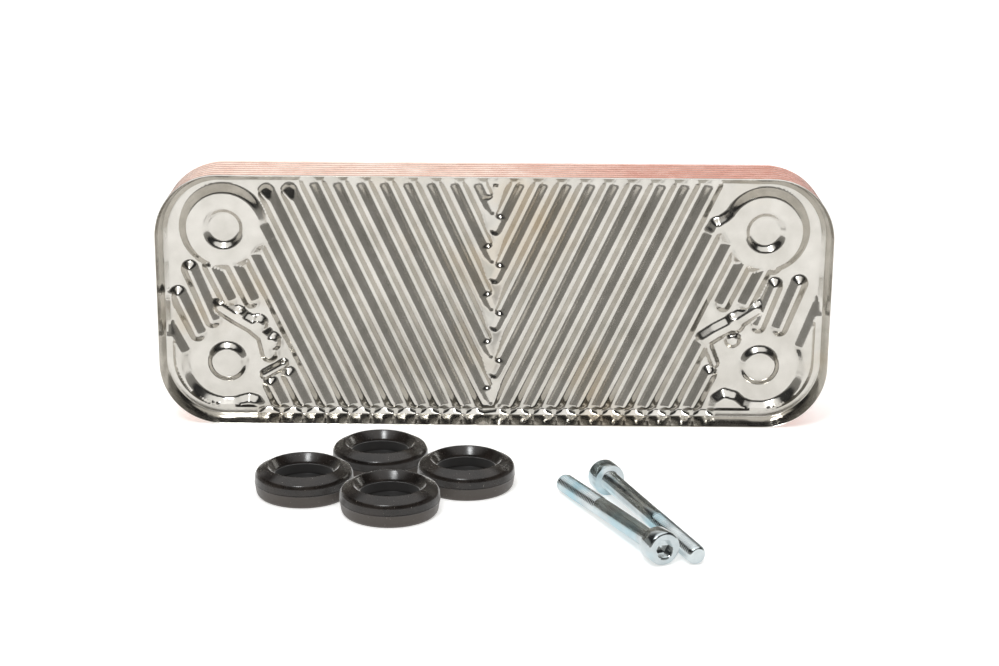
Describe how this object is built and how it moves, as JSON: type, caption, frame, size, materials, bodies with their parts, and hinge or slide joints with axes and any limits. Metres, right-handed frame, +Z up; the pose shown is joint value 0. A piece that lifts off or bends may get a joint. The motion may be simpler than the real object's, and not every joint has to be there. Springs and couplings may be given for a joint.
{
  "type": "plate heat exchanger",
  "caption": "Brazed plate heat exchanger with a herringbone-pressed cover, stacked flared plates, port collars, threaded bosses, ring seals and socket screws.",
  "frame": {"origin": "on the standing surface, at the middle of the fourth plate's rim", "axes": "+X along the plates, +Y from the closed cover plate towards the ports, +Z up across the plates"},
  "size_m": [0.1914, 0.1374, 0.0732],
  "materials": {
    "pressed_stainless": "bright rolled stainless steel sheet, faintly grained, with a warm tint",
    "plain_stainless": "satin stainless steel",
    "braze_copper": "furnace-brazed copper, matt and slightly mottled",
    "seal_rubber": "moulded black rubber with a satin skin",
    "zinc_plating": "bright zinc plating with a faint blue-green tint"
  },
  "bodies": {
    "exchanger": {"cover_plate": "pressed_stainless", "channel_plate_1": "pressed_stainless", "channel_plate_2": "pressed_stainless", "channel_plate_3": "pressed_stainless", "channel_plate_4": "pressed_stainless", "channel_plate_5": "pressed_stainless", "channel_plate_6": "pressed_stainless", "port_plate": "pressed_stainless", "braze_seam_1": "braze_copper", "braze_seam_2": "braze_copper", "braze_seam_3": "braze_copper", "braze_seam_4": "braze_copper", "braze_seam_5": "braze_copper", "braze_seam_6": "braze_copper", "braze_seam_7": "braze_copper", "reinforcing_plate": "plain_stainless", "port_collar_top_left": "plain_stainless", "port_collar_top_right": "plain_stainless", "port_collar_bottom_left": "plain_stainless", "port_collar_bottom_right": "plain_stainless", "screw_boss_left": "plain_stainless", "screw_boss_right": "plain_stainless"},
    "ring_seal_front": {"ring_seal_front": "seal_rubber"},
    "ring_seal_left": {"ring_seal_left": "seal_rubber"},
    "ring_seal_right": {"ring_seal_right": "seal_rubber"},
    "ring_seal_back": {"ring_seal_back": "seal_rubber"},
    "socket_screw_front": {"socket_screw_front": "zinc_plating"},
    "socket_screw_back": {"socket_screw_back": "zinc_plating"}
  },
  "joints": [
    {"name": "ring_seal_front_lift", "type": "slide", "parent": "exchanger", "child": "ring_seal_front", "axis": [0, 0, 1], "range_m": [0, 0.06]},
    {"name": "ring_seal_left_lift", "type": "slide", "parent": "exchanger", "child": "ring_seal_left", "axis": [0, 0, 1], "range_m": [0, 0.06]},
    {"name": "ring_seal_right_lift", "type": "slide", "parent": "exchanger", "child": "ring_seal_right", "axis": [0, 0, 1], "range_m": [0, 0.06]},
    {"name": "ring_seal_back_lift", "type": "slide", "parent": "exchanger", "child": "ring_seal_back", "axis": [0, 0, 1], "range_m": [0, 0.06]},
    {"name": "socket_screw_front_lift", "type": "slide", "parent": "exchanger", "child": "socket_screw_front", "axis": [0, 0, 1], "range_m": [0, 0.06]},
    {"name": "socket_screw_back_lift", "type": "slide", "parent": "exchanger", "child": "socket_screw_back", "axis": [0, 0, 1], "range_m": [0, 0.06]}
  ]
}
